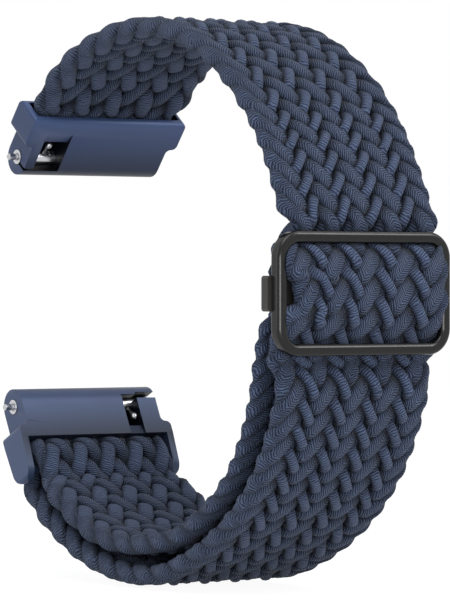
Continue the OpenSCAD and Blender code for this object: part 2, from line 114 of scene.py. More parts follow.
def set_inputs(node, inputs):
    """Gives each of these inputs of a shader node its value or the socket that feeds it."""
    for slot, value in inputs.items():
        if isinstance(value, bpy.types.NodeSocket):
            node.id_data.links.new(value, node.inputs[slot])
        else:
            node.inputs[slot].default_value = value


def add_node(tree, kind, inputs=None, **settings):
    node = tree.nodes.new(kind)
    for name, value in settings.items():
        setattr(node, name, value)
    set_inputs(node, inputs or {})
    return node


def maths(tree, operation, *values, clamp=False):
    return add_node(tree, "ShaderNodeMath", dict(enumerate(values)), operation=operation,
                    use_clamp=clamp).outputs[0]


def new_material(name):
    material = bpy.data.materials.new(name)
    material.use_nodes = True
    return material, material.node_tree


def mix_by_sight(tree, cast, seen, share=None):
    """Mixes two shaders: the second is what the camera and reflections see."""
    ray = add_node(tree, "ShaderNodeLightPath").outputs
    sight = maths(tree, "MAXIMUM", ray["Is Camera Ray"], ray["Is Glossy Ray"])
    if share:
        sight = maths(tree, "MULTIPLY", sight, share)
    return add_node(tree, "ShaderNodeMixShader",
                    {0: sight, 1: cast.outputs[0], 2: seen.outputs[0]}).outputs[0]


def make_table():
    mesh = bpy.data.meshes.new("table")
    bm = bmesh.new()
    bmesh.ops.create_grid(bm, x_segments=4, y_segments=4, size=TABLE_HALF_WIDTH)
    bmesh.ops.translate(bm, verts=bm.verts, vec=(0, 0, cad_box[0][2] - TABLE_GAP))
    bm.to_mesh(mesh)
    bm.free()
    table = put_in_scene("table", mesh)
    material, tree = new_material("table_white")
    tree.nodes.clear()
    paper = add_node(tree, "ShaderNodeBsdfDiffuse", {"Color": TABLE_PAPER})
    glow = add_node(tree, "ShaderNodeEmission", {"Color": WHITE, "Strength": TABLE_GLOW})
    surface = mix_by_sight(tree, paper, glow, TABLE_GLOW_SHARE)
    add_node(tree, "ShaderNodeOutputMaterial", {"Surface": surface})
    mesh.materials.append(material)


def make_room_light():
    world = bpy.data.worlds.new("white_room")
    bpy.context.scene.world = world
    world.use_nodes = True
    tree = world.node_tree
    tree.nodes.clear()
    cast = add_node(tree, "ShaderNodeBackground",
                    {"Color": ROOM_CAST, "Strength": ROOM_CAST_STRENGTH})
    seen = add_node(tree, "ShaderNodeBackground", {"Color": WHITE, "Strength": 1.0})
    add_node(tree, "ShaderNodeOutputWorld", {"Surface": mix_by_sight(tree, cast, seen)})


def hang_soft_box(name, place, size, power):
    data = bpy.data.lights.new(name, "AREA")
    data.shape = "RECTANGLE"
    data.size, data.size_y = size
    data.energy = power
    aim(put_in_scene(name, data), Vector(place), LIGHTS_TARGET)


make_table()
make_room_light()
hang_soft_box("light_above", (0.22, -0.12, 0.38), size=(0.3, 0.3), power=1.2)
hang_soft_box("light_lens_side", (0.4, -0.12, -0.045), size=(0.3, 0.12), power=1.1)
hang_soft_box("light_left", (-0.2, -0.42, 0.1), size=(0.25, 0.4), power=0.45)
hang_soft_box("light_right", (0.33, 0.25, 0.2), size=(0.1, 0.25), power=0.7)


# Connectors: two pressed and moulded end pieces that hold the strap to a watch case.
# Each is painted metal, satin navy, with every outer edge rounded off.
TOP_BAR = Vector((0, 0, 0))
BOTTOM_BAR = Vector((-0.000936, 0, -0.030903))
TOP_ALONG = np.array((0.62932, 0.77715))
BOTTOM_ALONG = np.array((0.43837, -0.89879))
CONNECTOR_EDGE = 0.3 * MM
COPY_MERGE = 2e-6
COPY_FLAT_ANGLE = math.radians(0.6)
ROUNDED_ANGLE, SHARP_ANGLE = math.radians(34), math.radians(50)
CUT_REACH = 1e-6
# Painted shade in the shell's hollows, and a fixed level of painted light on faces across
# the strap's width.
HOLLOW_FROM, HOLLOW_SPAN, HOLLOW_PAINTED_SHADE = 0.2, 0.4, 0.94
EDGE_FACE, EDGE_TONE = 0.7, 0.8


def copy_of_node(node, name):
    """A copy of a CAD node with its triangles merged and its flat faces made whole."""
    mesh = bpy.data.meshes.new(name)
    bm = bmesh.new()
    bm.from_mesh(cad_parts[node].data)
    bmesh.ops.remove_doubles(bm, verts=bm.verts, dist=COPY_MERGE)
    bmesh.ops.dissolve_limit(bm, angle_limit=COPY_FLAT_ANGLE, use_dissolve_boundaries=False,
                             verts=bm.verts, edges=bm.edges, delimit={"NORMAL"})
    bm.to_mesh(mesh)
    bm.free()
    return put_in_scene(name, mesh)


def shut_in(mesh, rays=12, reach=6 * MM, flat_rise=0.55, steep_rise=1.4, clear=1e-5):
    """The share of short rays from each face that meet the mesh again."""
    mesh.calc_loop_triangles()
    walls = BVHTree.FromPolygons([vert.co for vert in mesh.vertices],
                                 [face.vertices for face in mesh.polygons])
    shut, area = [0.0] * len(mesh.polygons), [0.0] * len(mesh.polygons)
    for tri in mesh.loop_triangles:
        middle = sum((mesh.vertices[i].co for i in tri.vertices), Vector()) / 3
        side = tri.normal.orthogonal().normalized()
        for k in range(rays):
            ray = tri.normal * (flat_rise if k % 2 else steep_rise)
            ray += Quaternion(tri.normal, k * 2 * math.pi / rays) @ side
            hit = walls.ray_cast(middle + tri.normal * clear, ray.normalized(), reach)[0]
            shut[tri.polygon_index] += tri.area / rays if hit else 0
        area[tri.polygon_index] += tri.area
    return [part / max(whole, 1e-12) for part, whole in zip(shut, area)]


def shade_corners(piece, bar, along, spots, painted_light_levels):
    """Writes the painted light and shade at each face corner: these light levels at these
    distances from the spring bar, in mm, and painted shade where the shell is hollow."""
    mesh = piece.data
    along = Vector((along[0], 0, along[1]))
    bm = bmesh.new()
    bm.from_mesh(mesh)
    for spot in spots[1:-1]:
        bmesh.ops.bisect_plane(bm, geom=bm.verts[:] + bm.edges[:] + bm.faces[:],
                               dist=CUT_REACH, plane_co=bar + along * (spot * MM),
                               plane_no=along)
    bm.to_mesh(mesh)
    bm.free()
    hollow = shut_in(mesh)
    tone_with_painted_light = mesh.attributes.new("tone_with_painted_light", "FLOAT", "CORNER")
    for face in mesh.polygons:
        shut = min(max((hollow[face.index] - HOLLOW_FROM) / HOLLOW_SPAN, 0), 1)
        # Painted shade where the shell is hollow.
        clear_of_painted_shade = 1 - HOLLOW_PAINTED_SHADE * shut
        for corner in face.loop_indices:
            place = mesh.vertices[mesh.loops[corner].vertex_index].co
            # Painted light, brighter or darker with distance from the spring bar.
            lit = np.interp((place - bar).dot(along) / MM, spots, painted_light_levels)
            faces_edge = abs(face.normal.y) > EDGE_FACE
            tone_with_painted_light.data[corner].value = clear_of_painted_shade * (EDGE_TONE if faces_edge else lit)


def noise(tree, place, scale, detail=2.0):
    return add_node(tree, "ShaderNodeTexNoise",
                    {"Vector": place, "Scale": scale, "Detail": detail}).outputs[0]


def mix_colours(tree, share, first, second, blend="MIX"):
    return add_node(tree, "ShaderNodeMix", {0: share, 6: first, 7: second},
                    data_type="RGBA", blend_type=blend).outputs[2]


CLOUD_SCALE, CLOUD_SHARE = 120.0, 0.35
GRAIN_ROUGHNESS = 0.12


def make_wear_and_highlight_group():
    """Puts out a colour, a roughness and a height for paint with fine grain, faint clouds
    and rubbed edges, whose lighter edge colour is partly wear and partly a painted
    highlight."""
    tree = bpy.data.node_groups.new("rubbed_and_highlighted_paint", "ShaderNodeTree")
    for direction, name, kind in (
            ("INPUT", "Colour", "Color"), ("INPUT", "Edge colour", "Color"),
            ("INPUT", "Grain scale", "Float"), ("INPUT", "Roughness", "Float"),
            ("OUTPUT", "Colour", "Color"), ("OUTPUT", "Roughness", "Float"),
            ("OUTPUT", "Height", "Float")):
        tree.interface.new_socket(name=name, in_out=direction,
                                  socket_type="NodeSocket" + kind)
    given = add_node(tree, "NodeGroupInput").outputs
    place = add_node(tree, "ShaderNodeTexCoord").outputs["Object"]
    grain = noise(tree, place, given["Grain scale"], detail=3.0)
    # Lighter colour on sharp edges: partly rubbed wear, partly a painted highlight.
    edge = add_node(tree, "ShaderNodeNewGeometry").outputs["Pointiness"]
    rub_and_highlight = add_node(tree, "ShaderNodeMapRange", {"Value": edge, "From Min": 0.53,
                                                "From Max": 0.62, "To Max": 0.5})
    tint = mix_colours(tree, rub_and_highlight.outputs[0], given["Colour"], given["Edge colour"])
    shade = add_node(tree, "ShaderNodeMapRange", {"Value": noise(tree, place, CLOUD_SCALE),
                                                  "To Min": 0.75, "To Max": 1.15})
    add_node(tree, "NodeGroupOutput", {
        "Colour": mix_colours(tree, CLOUD_SHARE, tint, shade.outputs[0], "MULTIPLY"),
        "Roughness": maths(tree, "MULTIPLY_ADD", grain, GRAIN_ROUGHNESS, given["Roughness"]),
        "Height": grain})
    return tree


wear_and_highlight_group = make_wear_and_highlight_group()


def attribute(tree, label):
    return add_node(tree, "ShaderNodeAttribute", attribute_name=label).outputs["Fac"]


def painted_metal(name, colour, edge_colour, roughness, grain, bump, metallic=0.0,
                  specular=0.5, reads_painted_light=False, grain_height=0.00003):
    """Metal or paint with the wear group and its painted edge highlight; one that reads
    painted light multiplies its colour by the painted light and shade of its piece.
    """
    material, tree = new_material(name)
    paint = add_node(tree, "ShaderNodeGroup", {
        "Colour": (*colour, 1), "Edge colour": (*edge_colour, 1), "Grain scale": grain,
        "Roughness": roughness}, node_tree=wear_and_highlight_group).outputs
    bumps = add_node(tree, "ShaderNodeBump", {"Strength": bump, "Distance": grain_height,
                                              "Height": paint["Height"]})
    base = paint["Colour"]
    # The piece's painted light and shade multiply the paint's colour.
    if reads_painted_light:
        base = mix_colours(tree, 1.0, base, attribute(tree, "tone_with_painted_light"), "MULTIPLY")
    set_inputs(tree.nodes["Principled BSDF"], {
        "Metallic": metallic, "Specular IOR Level": specular, "Base Color": base,
        "Roughness": paint["Roughness"], "Normal": bumps.outputs[0]})
    return material


def give_material(piece, material):
    piece.data.materials.clear()
    piece.data.materials.append(material)


def round_edges(piece, width):
    bevel = piece.modifiers.new("rounded_edges", "BEVEL")
    bevel.width = width
    bevel.segments = 3
    bevel.limit_method = "ANGLE"
    bevel.angle_limit = ROUNDED_ANGLE
    bevel.use_clamp_overlap = True
    bevel.harden_normals = True
    for face in piece.data.polygons:
        face.use_smooth = True
    piece.data.set_sharp_from_angle(angle=SHARP_ANGLE)


navy_paint = painted_metal("navy_satin_paint", colour=(0.039, 0.062, 0.138),
                           edge_colour=(0.085, 0.12, 0.22), roughness=0.34, grain=4000.0,
                           bump=0.2, metallic=0.2, specular=0.25, reads_painted_light=True)

# Painted light: the paint's brightness at some distances from the spring bar, in mm along
# each end.
for end, bar, along, spots, painted_light_levels in (
        ("top", TOP_BAR, TOP_ALONG, (-2.2, 1.0, 4.5, 7.0), (0.1, 0.5, 0.95, 1.25)),
        ("bottom", BOTTOM_BAR, BOTTOM_ALONG, (-2.2, -1.3, 0.3, 2.5, 4.85, 9.0),
         (0.2, 0.72, 0.8, 0.5, 0.2, 0.5))):
    shell = copy_of_node(end + "_connector", end + "_connector_shell")
    shade_corners(shell, bar, along, spots, painted_light_levels)
    round_edges(shell, CONNECTOR_EDGE)
    give_material(shell, navy_paint)
    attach(shell, "strap" if end == "top" else "bottom_end")
    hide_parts(end + "_connector")


# Spring bars: a rolled steel tube with a spring inside and a plunger at each end; one
# plunger carries a lever with a ball, which is pulled to free the strap.
bright_steel = painted_metal("polished_steel_bar", colour=(0.5, 0.51, 0.53),
                             edge_colour=(0.62, 0.63, 0.65), roughness=0.24, grain=2500.0,
                             bump=0.1, metallic=1.0)
wire_steel = painted_metal("drawn_spring_wire", colour=(0.42, 0.43, 0.45),
                           edge_colour=(0.6, 0.6, 0.62), roughness=0.3, grain=6000.0,
                           bump=0.3, metallic=1.0)
WIRE_CUT_REACH = 1e-7


def finish_node(node, material):
    """Shows a CAD node itself, in this material."""
    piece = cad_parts[node]
    give_material(piece, material)
    for face in piece.data.polygons:
        face.material_index = 0


def half_spring(end, side):
    """One half of the coil, squeezed between its plunger and the coil's middle."""
    low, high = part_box(end + "_bar_spring")
    middle = (low + high) / 2
    half = copy_of_node(end + "_bar_spring", f"{end}_spring_{side}_half")
    bm = bmesh.new()
    bm.from_mesh(half.data)
    bmesh.ops.bisect_plane(bm, geom=bm.verts[:] + bm.edges[:] + bm.faces[:],
                           dist=WIRE_CUT_REACH, plane_co=middle, plane_no=(0, 1, 0),
                           clear_inner=side == "far", clear_outer=side == "near")
    bmesh.ops.holes_fill(bm, edges=[edge for edge in bm.edges if edge.is_boundary])
    bm.to_mesh(half.data)
    bm.free()
    give_material(half, wire_steel)
    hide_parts(end + "_bar_spring")
    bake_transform(half)


for end in ("top", "bottom"):
    for part in ("bar_tube", "lever_plunger", "lever_knob", "plain_plunger"):
        finish_node(end + "_" + part, bright_steel)

half_spring("top", "near")
half_spring("top", "far")
half_spring("bottom", "near")
half_spring("bottom", "far")


# Strap: one long flat braid of nineteen cords that cross two over, two under, and turn
# back at the edges. It leaves the top connector, passes behind the slider, turns round the
# bottom connector's bar and comes back up to fold round the slider's centre bar.

# Its way is a line in the loop's plane, in millimetres, as (X, Z, beat). Two beats along
# it are one row of the braid, so that its crossings come where the real strap has them.
LOOP_MIDDLE = np.array((26.0958, -16.7956))
LOOP_RADIUS = 31.3
BOTTOM_SKIN = np.array((-BOTTOM_ALONG[1], BOTTOM_ALONG[0]))
STRAP_BAR = np.array((2.7028, -38.3631))
SLIDER_BACK = np.array((56.4958, -16.7456))


def by_angle(offsets, rows, first, last, start, step=0.5):
    """Points round the loop as (X, Z, beat), from the first angle to the last."""
    angles = np.arange(first, last, math.copysign(step, last - first))
    offset, row = (np.interp(angles, *zip(*sorted(table))) for table in (offsets, rows))
    radius = LOOP_RADIUS + offset
    turn = np.radians(angles)
    return np.stack((LOOP_MIDDLE[0] + radius * np.cos(turn),
                     LOOP_MIDDLE[1] + radius * np.sin(turn), start + 2 * row), 1)


def run_along(points):
    return np.concatenate(([0], np.cumsum(np.hypot(*np.diff(points, axis=0).T))))


def by_length(points, start, pitch=None, end=None):
    """Points as (X, Z, beat), with rows one pitch apart or the last beat at end."""
    points = np.asarray(points, float)
    run = run_along(points)
    rate = 2 / pitch if pitch else (end - start) / run[-1]
    return np.column_stack((points, start + run * rate))


TURN_SIDE = 2.0
TURN_LEAD = 2.6


def near_bar(along, skin):
    """A point by the bottom connector's bar, in millimetres along and out of that end."""
    return STRAP_BAR + along * BOTTOM_ALONG + skin * BOTTOM_SKIN


def round_bar(angle, reach=2.45, squareness=0.6):
    """A point of the fold round that bar, half a turn from its outer to its inner side."""
    skin = TURN_SIDE * abs(math.cos(angle)) ** squareness
    return near_bar(-reach * math.sin(angle) ** squareness,
                    math.copysign(skin, math.cos(angle)))


# Pairs of an angle round the loop, in degrees, with the way's distance outside the
# loop's radius or with its row.
upper_offsets = [(-1, -4.7), (4, -4.7), (8, -4.4), (10.5, -3.9), (12.3, -2.9), (13, -1.9),
                 (13.6, -1.0), (14.2, -0.3), (15, 0), (17, 0.1), (20, 0), (55, 0), (75, 0.2),
                 (95, 0.05), (105, 0), (118, 0.25), (124, 0.2), (129, -0.15)]
upper_rows = [(139, -1.4), (134.5, -0.7), (129.3, 0), (121.7, 1), (113.7, 2), (106, 3),
              (97.35, 4), (89.7, 5), (81.8, 6), (73.9, 7), (66, 8), (58.3, 9), (50.8, 10),
              (43.1, 11), (37.5, 12), (32.7, 13), (27.8, 14), (22.7, 15), (17.4, 16),
              (12.2, 17), (7, 18), (0, 19.4)]
inner_offsets = [(-128, -0.95), (-121, -1.1), (-108, -1.05), (-96, -1.4), (-84, -1.8),
                 (-71, -1.9), (-59, -2.3), (-46, -2.7), (-33, -3.7), (-19, -4.8),
                 (-12, -4.9), (-5, -4.7), (0, -4.7)]
inner_rows = [(0, 0), (-5.1, 1), (-10.2, 2), (-15.3, 3), (-20.4, 4), (-25.4, 5), (-30.3, 6),
              (-35.15, 7), (-40.05, 8), (-45.3, 9), (-51.75, 10), (-58.3, 11), (-66.25, 12),
              (-73.65, 13), (-80.8, 14), (-88.3, 15), (-95.2, 16), (-103.2, 17),
              (-111.1, 18), (-118.8, 19), (-126.5, 20), (-133.2, 21)]
outer_offsets = [(-131, 2.75), (-127, 2.4), (-121, 2.15), (-114, 2.1), (-104, 2.0),
                 (-93, 1.95), (-82, 1.85), (-72, 1.35), (-60, 1.1), (-49, 1.1), (-38, 0.9),
                 (-26, 0.4), (-22, 0.3), (-19.5, 0.1), (-18, -0.4), (-17, -0.9), (-16, -1.5),
                 (-15, -2.1)]
outer_rows = [(-18.7 - 5.4 * i, -i) for i in range(-2, 7)] + [
    (-51.1 - 6.6 * i, -6 - i) for i in range(1, 16)]
pocket_points = np.array([TOP_ALONG * run for run in np.arange(4.3, 8.3, 0.3)])
fold_points = np.array((
    (-1.75, -7.3), (-1.52, -6.7), (-1.15, -5.9), (-0.5, -5.0), (0.3, -4.1), (0.95, -3.2),
    (1.35, -2.2), (1.5, -1.0), (1.5, 0.5), (1.5, 1.5), (1.47, 2.6), (1.33, 3.9),
    (0.9, 4.85), (0.1, 5.2), (-0.6, 4.85), (-1.1, 3.9), (-1.5, 2.6), (-1.7, 1.4),
    (-1.65, 0), (-1.63, -1.5), (-1.63, -2.6))) + SLIDER_BACK
turn_points = [near_bar(TURN_LEAD, TURN_SIDE)]
turn_points += [round_bar(angle) for angle in np.linspace(0, math.pi, 25)]
turn_points += [near_bar(TURN_LEAD, -TURN_SIDE)]

# Beats at which the strap reaches or leaves each of these places.
BEHIND_SLIDER = 38.8
BAR_REACHED = BEHIND_SLIDER + 42.55
BAR_LEFT = BAR_REACHED + 5.3
SLIDER_REACHED = BEHIND_SLIDER + 86.67
FOLD_PITCH = 3.3
strap_way = np.concatenate((
    by_length(pocket_points, -2.75, end=0.35),
    by_angle(upper_offsets, upper_rows, 128.5, 0, start=0.5),
    by_angle(inner_offsets, inner_rows, 0, -127.2, start=BEHIND_SLIDER + 0.5),
    by_length(turn_points, BAR_REACHED, end=BAR_LEFT),
    by_angle(outer_offsets, outer_rows, -131, -15.2, start=BEHIND_SLIDER + 84.5),
    by_length(fold_points, SLIDER_REACHED, pitch=FOLD_PITCH)))


def even_way(way, step=0.1, passes=15):
    """The same way in even steps with its corners eased: run, points and beats."""
    run = run_along(way[:, :2])
    where = np.linspace(0, run[-1], int(run[-1] / step) + 1)
    beats = np.maximum.accumulate(np.interp(where, run, way[:, 2]) + where * 1e-4)
    way = np.column_stack([np.interp(where, run, way[:, i]) for i in (0, 1)] + [beats])
    for _ in range(passes):
        way[1:-1] = (way[:-2] + way[1:-1] * 2 + way[2:]) / 4
    for _ in range(passes * 4):
        way[1:-1, 2] = (way[:-2, 2] + way[1:-1, 2] * 2 + way[2:, 2]) / 4
    return run_along(way[:, :2]), way[:, :2], way[:, 2]


way_run, way_line, way_beat = even_way(strap_way)


def ease(value):
    value = np.clip(value, 0, 1)
    return value * value * (3 - 2 * value)


def rise(values, start, length):
    """Nought up to start and one after this length, eased between."""
    return ease((values - start) / length)


def fall(values, start, length):
    return 1 - rise(values, start, length)


def way_widths():
    """Width of the strap's near and far halves against their free width, along the way."""
    across, up = (way_line - SLIDER_BACK).T
    by_slider = across > -6
    before_fold = way_beat < 50
    round_bottom_bar = fall(np.hypot(*(way_line - STRAP_BAR).T), 3.2, 3.5)
    in_top_pocket = fall(way_run, 3.0, 1.2)
    past_top_pocket = rise(way_run, 3.0, 2.0) * fall(way_run, 8.0, 8.0)
    behind = fall(up, 7.5, 2.5) * rise(up, -5.0, 4.0) * before_fold * by_slider
    above = fall(up, 8.0, 7.0) * rise(up, 2.0, 3.0) * by_slider
    below = fall(-up, 8.0, 5.0) * rise(-up, 2.0, 3.0) * by_slider
    in_fold = rise(way_beat - SLIDER_REACHED, -2, 3)
    beside_centre_bar = in_fold * fall(np.abs(up), 1.7, 0.8)

    both = (1 - 0.075 * round_bottom_bar) * (1 - 0.04 * in_top_pocket)
    far = both * (1 + 0.04 * np.maximum(above, below) + 0.04 * behind)
    far *= 1 + 0.09 * in_fold
    far *= 1 + 0.05 * past_top_pocket
    near = both * (1 - 0.15 * behind) * (1 + 0.01 * below) * (1 + 0.075 * in_fold)
    near *= 1 - 0.12 * beside_centre_bar
    return near, far


def way_heights():
    """Thickness of the strap against its free thickness, all along the way."""
    up = way_line[:, 1] - SLIDER_BACK[1]
    by_slider = way_line[:, 0] > 40
    pressed_by_slider = fall(np.abs(up), 7.5, 5.0) * by_slider
    in_top_pocket = fall(way_run, 3.2, 2.0)
    round_bottom_bar = fall(np.hypot(*(way_line - STRAP_BAR).T), 3.0, 3.0)
    run_in_fold = way_run - np.interp(SLIDER_REACHED, way_beat, way_run)
    sewn_tail = rise(run_in_fold, 10.5, 3.5)
    return ((1 - 0.14 * pressed_by_slider) * (1 - 0.1 * in_top_pocket)
            * (1 - 0.12 * round_bottom_bar) * (1 - 0.36 * sewn_tail))


CORDS = 19
RING_SIDES = 12
RING_MERGE = 2e-8
# In millimetres: the room of one crossing across the strap, how far a cord's middle
# swings out and in, a cord's thickness, the length of one of its rings, and the length of
# a row where cords have their free width.
COLUMN = 1.115
CORD_RISE = 0.66
CORD_THICKNESS = 1.28
RING_STEP, FOLD_RING_STEP = 0.3, 0.26
FREE_PITCH = 3.1
PITCH_SHARE, PITCH_RANGE = 0.3, (0.85, 1.45)
# From this beat on the braid leans the other way.
HAND_TURNS = BEHIND_SLIDER + 0.6
HAND_SOFTNESS = 0.02
# Columns at each edge in which a cord turns back, in which its flat side rolls over, and
# past which its hand shows; how softly it turns, and how much less it swings there.
EDGE_TURN = 1.5
EDGE_ROLL = 1.3
EDGE_UNHANDED = 1.4
EDGE_SOFTNESS = 0.3
EDGE_FLATTENING = 0.12
# How quickly a cord goes from over to under elsewhere, and how far its bends are set off.
CORD_SNAP = 1.9
CORD_SKEW = 0.2
# A cord of one hand lies broad and swells as it comes out; one of the other hand is
# broad inside and drawn narrow and proud outside. At the edges both are wider.
BROAD_WIDTH, BROAD_SWELL = 1.72, 0.3
DRAWN_WIDTH, DRAWN_NARROWING, NARROWING_POWER = 1.85, 0.66, 1.5
DRAWN_LIFT, DRAWN_HEIGHT = 0.2, 0.92
EDGE_WIDENING, EDGE_WIDE_REACH = 0.2, 1.6
BROAD_SQUARENESS, DRAWN_SQUARENESS, HEIGHT_SQUARENESS = 0.72, 0.85, 0.85
# How open a cord is to the light, shown in its colour as painted shade: most where it is
# over or under, at the strap's edges and on its crest, and least where another crosses it
# and down its sides.
OPEN_GAIN, OPEN_LOSS = 1.15, 0.15
EDGE_OPEN, EDGE_OPEN_REACH = 1.1, 1.8
SIDE_OPEN, SIDE_OPEN_POWER = 0.3, 0.8

way_near, way_far = way_widths()
way_tall = way_heights()
way_pitch = 2 / np.gradient(way_beat, way_run)
way_ahead = np.gradient(way_line, axis=0)
way_ahead /= np.hypot(*way_ahead.T)[:, None]
way_left = np.stack((-way_ahead[:, 1], way_ahead[:, 0]), 1)
# One where the left of the way is the side seen, and minus one past the bottom bar.
way_face = 1 - 2 * rise(way_beat - BAR_REACHED, 1.5, 2.3)


def lay_cord_grids(name, rings):
    """One flat grid for each cord, with the ring and the side that each vertex is on."""
    bm = bmesh.new()
    for _ in range(CORDS):
        bmesh.ops.create_grid(bm, x_segments=rings, y_segments=RING_SIDES, size=1.0)
    mesh = bpy.data.meshes.new(name)
    bm.to_mesh(mesh)
    bm.free()
    flat = np.empty(len(mesh.vertices) * 3)
    mesh.vertices.foreach_get("co", flat)
    flat = flat.reshape(CORDS, -1, 3)
    ring = np.rint((flat[..., 0] + 1) / 2 * rings).astype(int)
    side = np.rint((flat[..., 1] + 1) / 2 * RING_SIDES).astype(int)
    return mesh, ring, side


def close_cords(mesh):
    """Joins each grid's long sides, caps the ends and smooths all but the caps."""
    bm = bmesh.new()
    bm.from_mesh(mesh)
    bmesh.ops.remove_doubles(bm, verts=bm.verts, dist=RING_MERGE)
    rims = [edge for edge in bm.edges if edge.is_boundary]
    bmesh.ops.holes_fill(bm, edges=rims, sides=0)
    bmesh.ops.recalc_face_normals(bm, faces=bm.faces)
    for face in bm.faces:
        face.smooth = len(face.verts) < 5
    bm.to_mesh(mesh)
    bm.free()


def over_and_under(beats, face):
    """A cord's hand, its place across in columns, the same before the edges are rounded,
    its distance from the nearer edge, and its height, from -1 under to 1 over."""
    rising = beats < CORDS
    hand = np.where(rising, 1.0, -1.0)
    raw = np.where(rising, beats, 2 * CORDS - beats)
    column = np.where(raw < CORDS / 2, np.sqrt(raw ** 2 + EDGE_SOFTNESS),
                      CORDS - np.sqrt((CORDS - raw) ** 2 + EDGE_SOFTNESS))
    from_edge = np.minimum(raw, CORDS - raw)
    lap = math.pi * (raw - EDGE_TURN)
    wave = np.cos(lap / 2) + CORD_SKEW * face * np.sin(lap)
    wave = np.tanh(CORD_SNAP * wave) / math.tanh(CORD_SNAP)
    clear = ease(from_edge / EDGE_TURN)
    turning = np.sin(math.pi * from_edge / (2 * EDGE_TURN))
    wave = np.where(from_edge < EDGE_TURN, turning * (1 - clear) + wave * clear, wave)
    return hand, column, raw, from_edge, hand * wave


def unit(vectors):
    return vectors / np.linalg.norm(vectors, axis=1)[:, None]


def squared(wave, power):
    return np.sign(wave) * np.abs(wave) ** power


def lay_braid(name, first, last, ring_step=RING_STEP):
    """Braids the nineteen cords between two beats of the strap's way, as one mesh."""
    length = np.interp(last, way_beat, way_run) - np.interp(first, way_beat, way_run)
    slant = math.hypot(COLUMN, length / (last - first))
    rings = max(int((last - first) * slant / ring_step), 4)
    moment = np.linspace(first, last, rings + 1)
    spot = np.interp(moment, way_beat, way_run)

    def on_way(values):
        return np.interp(spot, way_run, values)

    centre = np.stack([on_way(way_line[:, i]) for i in (0, 1)], 1)
    out = np.stack([on_way(way_left[:, i]) for i in (0, 1)], 1)
    out /= np.hypot(*out.T)[:, None]
    near, far = on_way(way_near), on_way(way_far)
    depth, face = on_way(way_tall), on_way(way_face)
    stretch = np.clip(on_way(way_pitch) / FREE_PITCH, *PITCH_RANGE)
    spread_out = 1 + PITCH_SHARE * (stretch - 1)
    phase = HAND_TURNS - np.sqrt((moment - HAND_TURNS) ** 2 + HAND_SOFTNESS)

    mesh, ring, side = lay_cord_grids(name, rings)
    place = np.empty(ring.shape + (3,))
    along_cord, across_cord, knit_share, painted_light_share = np.empty((4,) + ring.shape)

    for cord in range(CORDS):
        hand, column, raw, from_edge, height = over_and_under(
            np.mod(phase - 2 * cord, 2 * CORDS), face)
        from_middle = column - CORDS / 2
        crown = 1 - EDGE_FLATTENING * (from_middle / (CORDS / 2)) ** 4
        knit = 0.5 + 0.5 * face * hand * ease(from_edge / EDGE_UNHANDED)
        outer = 0.5 + 0.5 * np.clip(face * height, -1, 1)
        proud = 1 + DRAWN_LIFT * (1 - 2 * knit) * outer
        lift = height * CORD_RISE * depth * crown * proud
        width = np.where(column < CORDS / 2, near, far)
        middle = np.stack((centre[:, 0] + out[:, 0] * lift, from_middle * COLUMN * width,
                           centre[:, 1] + out[:, 1] * lift), 1)

        forward = unit(np.gradient(middle, axis=0))
        lean = hand * np.sin(math.pi / 2 * np.clip(from_edge / EDGE_ROLL, 0, 1))
        edge_side = np.where(raw < CORDS / 2, -1.0, 1.0)
        up = np.stack((out[:, 0] * lean, edge_side * np.sqrt(1 - lean ** 2),
                       out[:, 1] * lean), 1)
        up = unit(up - (up * forward).sum(1)[:, None] * forward)
        sideways = np.cross(up, forward)

        drawn_width = DRAWN_WIDTH - DRAWN_NARROWING * outer ** NARROWING_POWER
        cord_width = knit * (BROAD_WIDTH + BROAD_SWELL * outer) + (1 - knit) * drawn_width
        cord_width += EDGE_WIDENING * (1 - ease(from_edge / EDGE_WIDE_REACH))
        cord_width *= width * spread_out
        cord_height = CORD_THICKNESS * depth * (DRAWN_HEIGHT + (1 - DRAWN_HEIGHT) * knit)
        steps = np.linalg.norm(np.diff(middle, axis=0), axis=1)
        cord_run = np.concatenate(([0], np.cumsum(steps)))
        # Painted shade where the cord is closed to the light.
        clear_of_painted_shade = np.clip(np.maximum(np.abs(height) * OPEN_GAIN - OPEN_LOSS,
                                  EDGE_OPEN - from_edge / EDGE_OPEN_REACH), 0, 1)

        i = ring[cord]
        turn = 2 * math.pi * side[cord] / RING_SIDES
        squareness = np.where(knit[i] > 0.5, BROAD_SQUARENESS, DRAWN_SQUARENESS)
        spread = squared(np.cos(turn), squareness)
        bulge = squared(np.sin(turn), HEIGHT_SQUARENESS)
        place[cord] = (middle[i] + sideways[i] * (spread * cord_width[i] / 2)[:, None]
                       + up[i] * (bulge * cord_height[i] / 2)[:, None])
        along_cord[cord] = cord_run[i]
        across_cord[cord] = np.cos(turn) * cord_width[i] / 2
        knit_share[cord] = knit[i]
        crest = np.abs(np.sin(turn)) ** SIDE_OPEN_POWER
        painted_light_share[cord] = clear_of_painted_shade[i] * (SIDE_OPEN + (1 - SIDE_OPEN) * crest)

    mesh.vertices.foreach_set("co", (place * MM).ravel())
    for label, values in (("cord_along", along_cord), ("cord_across", across_cord),
                          ("cord_knit", knit_share), ("cord_painted_light", painted_light_share)):
        layer = mesh.attributes.new(label, "FLOAT", "POINT")
        layer.data.foreach_set("value", values.ravel().astype(np.float32))
    close_cords(mesh)
    return put_in_scene(name, mesh)


# Painted shade in the rib grooves, near black, and the crest colour at the top of each rib.
WEAVE_GROOVE_PAINTED_SHADE = (0.004, 0.006, 0.016, 1)
WEAVE_CREST = (0.064, 0.088, 0.15, 1)
SWAY_SCALE, FLUFF_SCALE, PATCH_SCALE = 1300.0, 5200.0, 350.0
RIB_PITCH = 0.28
RIB_SWAY = 0.44
RIB_HEIGHT = 0.00012
CHEVRON_SLOPE = 0.75
